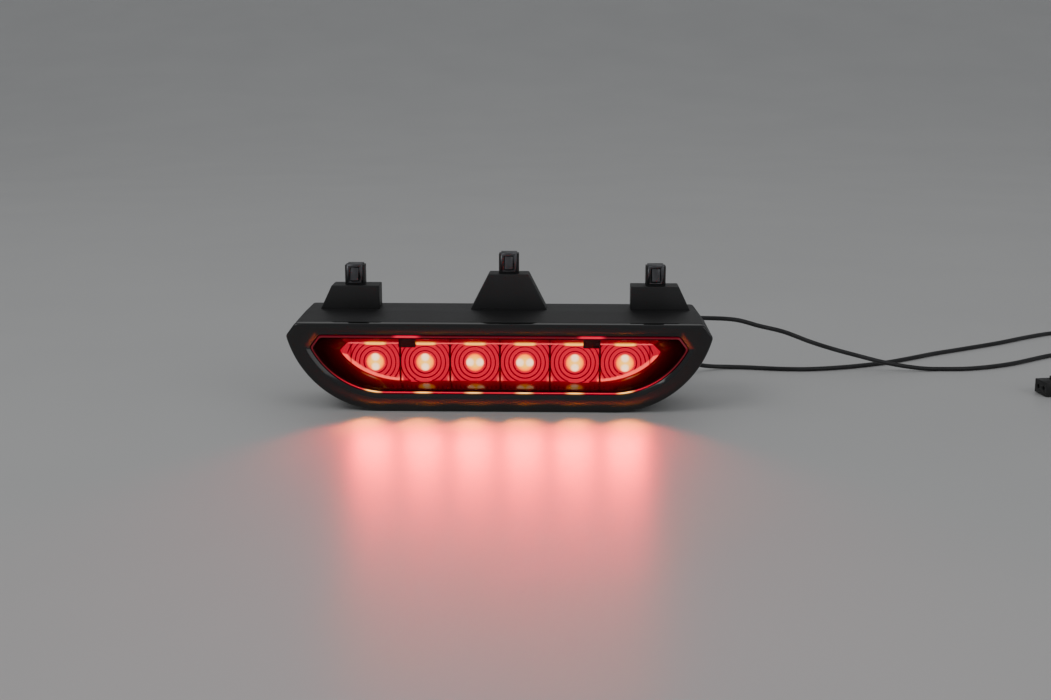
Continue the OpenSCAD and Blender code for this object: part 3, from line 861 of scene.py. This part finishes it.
bezel_rings = [funnel_ring(SEAL_BACK + 0.35, 0), funnel_ring(SEAL_BACK + 0.1, 0.12),
               funnel_ring(SEAL_BACK, 0.4), ring(SEAL_BACK, 3.4), ring(BEZEL_FLANGE, 3.4),
               ring(BEZEL_FLANGE, 1.2), funnel_ring(BEZEL_BACK, 1.6), funnel_ring(BEZEL_BACK, 0.25)]
bezel_rings += [funnel_ring(BEZEL_BACK - 0.25 - 7.2 * t, 0) for t in (0, 0.25, 0.5, 0.75)]
bezel = loft("bezel_loft", bezel_rings, closed=True)
notches = mirrored_blocks(LUG_X, (BEZEL_BACK - 1.4, OPTIC_BOTTOM - 2), (BEZEL_BACK + 1, OPTIC_BOTTOM + 1), 0)
bezel = cut_away(bezel, notches, "bezel_cut")
hooks = mirrored_blocks(HOOK_X, (SEAL_BACK + 1, OPTIC_TOP - 1), (BEZEL_BACK - 0.2, RIM["top"] - 0.1), 0.4)
bezel = combine(bezel, hooks, "bezel_shape")
add_piece("bezel_finish", bezel, "bezel_gloss", stands_for="bezel")
print("bezel", len(bezel.polygons), "faces")

# %% [markdown]
# ## Housing
# The housing is a tub with walls 2.5 mm thick. The loft starts on the rear field, comes round
# the rear edge, runs forward under the sloping hood, turns in at the mouth, passes the ledge
# that holds the bezel and ends inside the rear wall, so one chain of rings makes both skins.
# The rear field is 0.5 mm lower than its border, with pads where the wires and the vent pass.

# %% Make the tub
REAR, REAR_INNER, GROMMET_END = 22.0, 19.5, 29.0
LEAD_X, LEAD_Z = 81.0, {"upper": 34.0, "lower": 16.0}
VENT_X, WALL, DECK = -60.0, 2.5, 47.0


def shell_ring(y, e, drop=0.0, tip=END_BULK):
    return ring(y, e, tip, hood(y) - drop)


def inner_ring(y, inset=0):
    return shell_ring(y, MARGIN - WALL - inset, WALL + inset)


tub = [shell_ring(REAR - 0.5, 4.3, 4.7), shell_ring(REAR - 0.4, 4.45, 4.55),
       shell_ring(REAR - 0.08, 4.7, 4.3), shell_ring(REAR, 4.9, 4.1)]
for k in range(6):
    turn = pi / 2 * k / 5
    inset, ahead = 1.3 * (1 - sin(turn)), 1.3 * (1 - cos(turn))
    tub.append(shell_ring(REAR - ahead, MARGIN - inset, inset))
tub += [shell_ring(y, MARGIN) for y in (12.0, 4.0, 0.0, -2.0, -5.0, -12.0, FRAME_BACK + 0.3)]
tub += [shell_ring(FRAME_BACK + 0.05, MARGIN - 0.25, 0.25), inner_ring(FRAME_BACK + 0.05),
        inner_ring(BEZEL_FLANGE), ring(BEZEL_FLANGE, 1.9), ring(BEZEL_FLANGE + 2, 1.9)]
tub += [inner_ring(y) for y in (BEZEL_FLANGE + 2, -2.0, REAR_INNER - 1)] + [inner_ring(REAR_INNER, 1)]


def bores():
    tools = [rod(LEAD_X, z, REAR_INNER - 1, REAR + 1, 3) for z in LEAD_Z.values()]
    tools += [rod(VENT_X, LED_Z, REAR_INNER - 1, REAR + 1, 2)]
    return tools + [rod(VENT_X, LED_Z, REAR - 0.6, REAR + 1, 4)]


housing = cut_away(loft("tub_loft", tub), bores(), "tub_cut")
print("tub", len(housing.polygons), "faces")

# %% [markdown]
# Each tower is a wide base with a long sloping side, and a tongue that a clip grips. The back of
# the base is cored out, as on any moulded part: the pockets are cut, then the edges are rounded.

# %% Shapes for the towers
TONGUE = {"half": 5.0, "front": 6.0, "rear": 12.0, "height": 10.0}
ROOT, LOW, HIGH = DECK - 1.5, 59, 65
SIDE_BASE = [(-18, ROOT), (-11.5, LOW), (12.5, LOW), (12.5, ROOT)]
MID_BASE = [(-20, ROOT), (-10, HIGH), (10, HIGH), (20, ROOT)]
towers = [(-74, LOW, SIDE_BASE), (4, HIGH, MID_BASE),
          (78, LOW, [(-x, z) for x, z in reversed(SIDE_BASE)])]


def prism(x, base, y0, y1):
    shape = bmesh.new()
    ends = [[shape.verts.new(Vector((x + u, y, z)) * MM) for u, z in base] for y in (y0, y1)]
    shape.faces.new(ends[0])
    shape.faces.new(reversed(ends[1]))
    for i in range(len(base)):
        j = (i + 1) % len(base)
        shape.faces.new((ends[0][i], ends[0][j], ends[1][j], ends[1][i]))
    bmesh.ops.recalc_face_normals(shape, faces=shape.faces)
    return shape


def as_part(mesh):
    part = bmesh.new()
    part.from_mesh(mesh)
    bpy.data.meshes.remove(mesh)
    return part


print("towers at", [x for x, shoulder, base in towers])

# %% Make the towers and the pads
parts = []
for x, shoulder, base in towers:
    pockets = [rounded_block((mid - 3.4, 9, DECK + 1.5), (mid + 3.4, 16, shoulder - 2.5), 0.6)
               for mid in (x - 4.6, x + 4.6)]
    parts.append(as_part(cut_away(mesh_of(prism(x, base, 3, 15), "base"), pockets, "tower_base", 0.45)))
    tip = shoulder + TONGUE["height"]
    reliefs = [rounded_block((x - 2.4, y - 1, tip - 8.6), (x + 2.4, y + 1, tip - 0.8), 0)
               for y in (TONGUE["front"], TONGUE["rear"])]
    tongue = rounded_block((x - TONGUE["half"], TONGUE["front"], shoulder - 1),
                           (x + TONGUE["half"], TONGUE["rear"], tip), 0)
    parts.append(as_part(cut_away(mesh_of(tongue, "tongue"), reliefs, "tower_tongue", 0.25)))
for x, z, radius in [(LEAD_X, z, 7.0) for z in LEAD_Z.values()] + [(VENT_X, LED_Z, 6.5)]:
    pad = mesh_of(rod(x, z, REAR - 0.9, REAR, radius), "pad")
    parts.append(as_part(cut_away(pad, bores(), "pad_cut", 0.15)))
for x, z in ((-60, 38.5), (0, 38.5), (60, 38.5), (-40, 8.6), (40, 8.6)):
    boss = mesh_of(rod(x, z, 10.6, REAR_INNER + 0.6, 2.6), "boss")
    parts.append(as_part(cut_away(boss, [rod(x, z, 9, 16.6, 1.0)], "boss_cut")))
print("made", len(parts), "parts for the housing")

# %% [markdown]
# ## Shapes that follow a rule
# Some shapes are a rule and not a drawing: the ribs of a strain relief, or the teeth of a ring
# lens. They are grown by Geometry Nodes, whose sizes are inputs with names, and the result
# becomes a plain mesh before the piece joins a body.

# %% Grow a mesh from a node tree
class Grower(Tree):
    """A Geometry Nodes tree whose inputs are made by name."""

    def __init__(self, name):
        super().__init__(bpy.data.node_groups.new(name, "GeometryNodeTree"))
        self.entry = self.nodes.nodes.new("NodeGroupInput")
        self.nodes.interface.new_socket(name="Shape", in_out="OUTPUT", socket_type="NodeSocketGeometry")

    def input(self, name, kind="Float"):
        self.nodes.interface.new_socket(name=name, in_out="INPUT", socket_type="NodeSocket" + kind)
        return Link(self, self.entry.outputs[name])

    def done(self, shape):
        real = self.node("GeometryNodeRealizeInstances", {0: shape})
        finish = self.input("Finish", "Material")
        dressed = self.node("GeometryNodeSetMaterial", {0: real, "Material": finish})
        self.node("NodeGroupOutput", {0: dressed})


def grow(grower, name, sizes):
    """Sets the inputs by their identifiers, works the tree out and returns a plain mesh."""
    obj = put(name, bpy.data.meshes.new(name + "_seed"))
    change = obj.modifiers.new("grow", "NODES")
    change.node_group = grower.nodes
    for item in grower.nodes.interface.items_tree:
        if item.in_out == "INPUT":
            change[item.identifier] = sizes[item.name]
    return baked_mesh(obj, name)


print("ready to grow")

# %% [markdown]
# ## Strain reliefs
# Each wire leaves the housing through a rubber grommet: a flange on the rear wall, a cone that
# gets thinner along the wire, and ribs that let it bend. The tree sweeps a circle along a
# straight line, with the flange's radius first and then the cone's with a wave added to it.

# %% Make the strain reliefs
def relief_tree():
    g = Grower("strain_relief")
    length, flange = g.input("Length"), g.input("Flange Radius")
    neck, tip = g.input("Cone Radius"), g.input("Tip Radius")
    ribs, depth, place = g.input("Ribs"), g.input("Rib Depth"), g.input("Place", "Vector")
    end = g.node("ShaderNodeCombineXYZ", {"Y": length})
    line = g.node("GeometryNodeCurvePrimitiveLine", {"End": end})
    line = g.node("GeometryNodeResampleCurve", {"Curve": line, "Count": 90})
    way = g.node("GeometryNodeSplineParameter")
    cone = neck + (tip - neck) * way.rise(0.22, 1.0)
    wave = (way * ribs * (2 * pi)).math("SINE") * depth * way.rise(0.24, 0.34) * way.rise(1.0, 0.9)
    radius = cone + wave + (flange - cone) * way.rise(0.24, 0.19) * (0.9 + 0.1 * way.rise(0, 0.05))
    circle = g.node("GeometryNodeCurvePrimitiveCircle", {"Resolution": 40, "Radius": 1.0})
    tube = g.node("GeometryNodeCurveToMesh", {
        "Curve": line, "Profile Curve": circle, "Scale": radius, "Fill Caps": True})
    moved = g.node("GeometryNodeTransform", {"Geometry": tube, "Translation": place})
    g.done(moved)
    return g


relief = relief_tree()
for side, z in LEAD_Z.items():
    mesh = grow(relief, f"relief_{side}", {
        "Length": (GROMMET_END - REAR) * MM, "Flange Radius": 4.6 * MM, "Cone Radius": 3.3 * MM,
        "Tip Radius": 1.9 * MM, "Ribs": 5.0, "Rib Depth": 0.32 * MM,
        "Place": (LEAD_X * MM, REAR * MM, z * MM), "Finish": paints["grommet_black"]})
    mesh.shade_smooth()
    mesh.set_sharp_from_angle(angle=radians(50))
    grommet = add_piece(f"relief_{side}", mesh, "grommet_black", stands_for=f"grommet_{side}")
    print(side, "relief", len(mesh.polygons), "faces", [round(v / MM, 2) for v in grommet.dimensions])

# %% [markdown]
# ## Ring optic
# Each cell of the optic is a stepped lens: rings round its source, each with a steep step and a
# gentle slope. A tree bends a flat grid into the rings: one side of the grid counts from the
# centre over the teeth to the back, the other round the circle. The place in a tooth, 0, 1 or 2,
# gives each point's radius and height. Each lens is then cut to the shape of its own cell.

# %% Grow a ring lens
OPTIC = {"flat": 48.0, "reach": 80.0, "reach_z": 28.0, "low": OPTIC_BOTTOM, "top": OPTIC_TOP}
OPTIC_BACK, TOOTH_BASE, TOOTH, TEETH = -6.5, -7.9, 0.9, 13


def ring_lens_tree():
    g = Grower("ring_lens")
    first, pitch, tooth = g.input("First Radius"), g.input("Pitch"), g.input("Tooth")
    teeth, centre = g.input("Teeth"), g.input("Centre", "Vector")
    points = g.input("Section Points", "Int")
    grid = g.node("GeometryNodeMeshGrid", {
        "Size X": 1.0, "Size Y": 1.0, "Vertices X": points, "Vertices Y": 97})
    place = g.node("GeometryNodeInputPosition")
    u = ((g.node("ShaderNodeSeparateXYZ", {0: place}) + 0.5) * (points - 1)).math("ROUND")
    turn = (g.node("ShaderNodeSeparateXYZ", {0: place}, out=1) + 0.5) * (2 * pi)
    number = ((u - 3) / 3).math("FLOOR")
    step = u - 3 - number * 3
    crest = step.rise(1.4, 1.6)
    slope_r = first + number * pitch + step * (0.3 * MM) + crest * (pitch - 0.7 * MM)
    slope_h = (0.1 + step.rise(0.4, 0.6) * 0.9 - crest * 0.7) * tooth
    middle_r = (first * 0.6 * u).math("MINIMUM", first - 0.2 * MM)
    middle_h = (1.1 - u * 0.15 - u.rise(1.4, 1.6) * 0.4) * tooth
    outside = u.rise(2.4, 2.6)
    last = (u - teeth * 3).rise(3.4, 3.6)
    radius = (middle_r + (slope_r - middle_r) * outside) * (1 - last)
    height = (middle_h + (slope_h - middle_h) * outside) * (1 - last)
    spot = g.node("ShaderNodeCombineXYZ", {
        "X": radius * turn.math("COSINE"), "Y": height * -1, "Z": radius * turn.math("SINE")})
    bent = g.node("GeometryNodeSetPosition", {"Geometry": grid, "Position": spot})
    closed = g.node("GeometryNodeMergeByDistance", {"Geometry": bent, "Distance": 2e-6})
    g.done(g.node("GeometryNodeTransform", {"Geometry": closed, "Translation": centre}))
    return g


def clip(points, limit, side):
    """The part of a convex outline with side * x no more than side * limit."""
    kept = []
    for a, b in zip(points, points[1:] + points[:1]):
        inside_a, inside_b = side * a[0] <= side * limit, side * b[0] <= side * limit
        if inside_a:
            kept.append(a)
        if inside_a != inside_b:
            share = (limit - a[0]) / (b[0] - a[0])
            kept.append((limit, a[1] + (b[1] - a[1]) * share))
    return kept


print("a lens has", TEETH, "teeth")

# %% Cut the six cells
ring_lens = ring_lens_tree()
optic_parts = []
for i, x in enumerate(SOURCES):
    shape = as_part(grow(ring_lens, f"ring_lens_{i}", {
        "First Radius": RING_FIRST * MM, "Pitch": RING_PITCH * MM, "Tooth": TOOTH * MM,
        "Teeth": float(TEETH), "Section Points": 3 * TEETH + 5,
        "Centre": (x * MM, TOOTH_BASE * MM, LED_Z * MM), "Finish": paints["optic_red"]}))
    bmesh.ops.recalc_face_normals(shape, faces=shape.faces)
    cell = outline(0, form=OPTIC, soft=0.4)
    if i > 0:
        cell = clip(cell, x - PITCH / 2 + 0.25, -1)
    if i < 5:
        cell = clip(cell, x + PITCH / 2 - 0.25, 1)
    block = prism(0, cell, TOOTH_BASE - 1.2, TOOTH_BASE + 0.05)
    lens = cut_away(mesh_of(shape, "lens"), [block], f"cell_{i}", operation="INTERSECT")
    optic_parts.append(as_part(lens))
print("cells", [len(part.faces) for part in optic_parts])

# %% [markdown]
# The six cells stand on one plate, and two lugs under it hold the optic in the bezel's notches.

# %% Join the optic
plate_rings = [ring(OPTIC_BACK, 1 - 0.2, form=OPTIC), ring(OPTIC_BACK - 0.06, 0.94, form=OPTIC),
               ring(OPTIC_BACK - 0.2, 1, form=OPTIC), ring(TOOTH_BASE - 0.1, 1, form=OPTIC)]
optic_parts += mirrored_blocks((LUG_X[0] + 0.3, LUG_X[1] - 0.3), (BEZEL_BACK - 1, OPTIC_BOTTOM - 0.7),
                               (OPTIC_BACK, OPTIC_BOTTOM + 0.5), 0.15)
optic = combine(loft("plate_loft", plate_rings), optic_parts, "optic_shape")
add_piece("ring_optic", optic, "optic_red", stands_for="inner_optic")
print("optic", len(optic.polygons), "faces")

# %% [markdown]
# ## Ribs on the rear wall
# A row of low ribs stiffens the rear field. A short tree sets one block at each point of a line,
# and the ribs join the tub, the towers and the pads as one moulded part.

# %% Grow the ribs and finish the housing
def rib_tree():
    g = Grower("rib_row")
    count, step = g.input("Count", "Int"), g.input("Step")
    size, place = g.input("Rib Size", "Vector"), g.input("First Place", "Vector")
    offset = g.node("ShaderNodeCombineXYZ", {"X": step})
    spots = g.node("GeometryNodeMeshLine", {
        "Count": count, "Start Location": place, "Offset": offset})
    rib = g.node("GeometryNodeMeshCube", {"Size": size})
    g.done(g.node("GeometryNodeInstanceOnPoints", {"Points": spots, "Instance": rib}))
    return g


ribs = rib_tree()
rows = [(9, 12.0, -40.0, 25.0, 30.0), (2, 12.0, -84.0, 30.0, 16.0), (1, 12.0, 66.0, 25.0, 26.0)]
for k, (count, step, x, z, height) in enumerate(rows):
    mesh = grow(ribs, f"rib_row_{k}", {
        "Count": count, "Step": step * MM, "Rib Size": (1.4 * MM, 0.9 * MM, height * MM),
        "First Place": (x * MM, (REAR - 0.45) * MM, z * MM), "Finish": paints["housing_black"]})
    holder = put("rib_holder", mesh)
    round_edges(holder, 0.2, 2)
    parts.append(as_part(baked_mesh(holder, "rib_part")))
housing = combine(housing, parts, "housing_shape")
add_piece("housing_finish", housing, "housing_black", stands_for="rear_housing")
print("housing", len(housing.polygons), "faces")

# %% [markdown]
# ## Parts that keep their shape
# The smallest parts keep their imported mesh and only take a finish.

# %% Paint the small parts
kept = {"lens_seal": "seal_black", "led_windows": "led_glow", "resistors": "chip_black",
        "diode": "chip_black", "solder_tags": "brass_tag", "inner_leads": "wire_black",
        "vent_membrane": "vent_white"}
kept.update({f"led_pair_{i}": "led_body" for i in range(1, 7)})
for node, slot in kept.items():
    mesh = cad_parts[node].data
    for i in range(len(mesh.materials)):
        mesh.materials[i] = paints[slot]
print("kept", len(kept))

# %% [markdown]
# ## Cords
# Each wire takes the wire's finish and rides on the lamp's body in place of the imported wire,
# which is hidden. As a curve it can be laid in another way.

for side, z in LEAD_Z.items():
    wire = wires[side]
    wire.data.materials.append(paints["wire_black"])
    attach(wire, "lamp")
    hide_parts(f"wire_{side}")
    print(side, "wire declared")
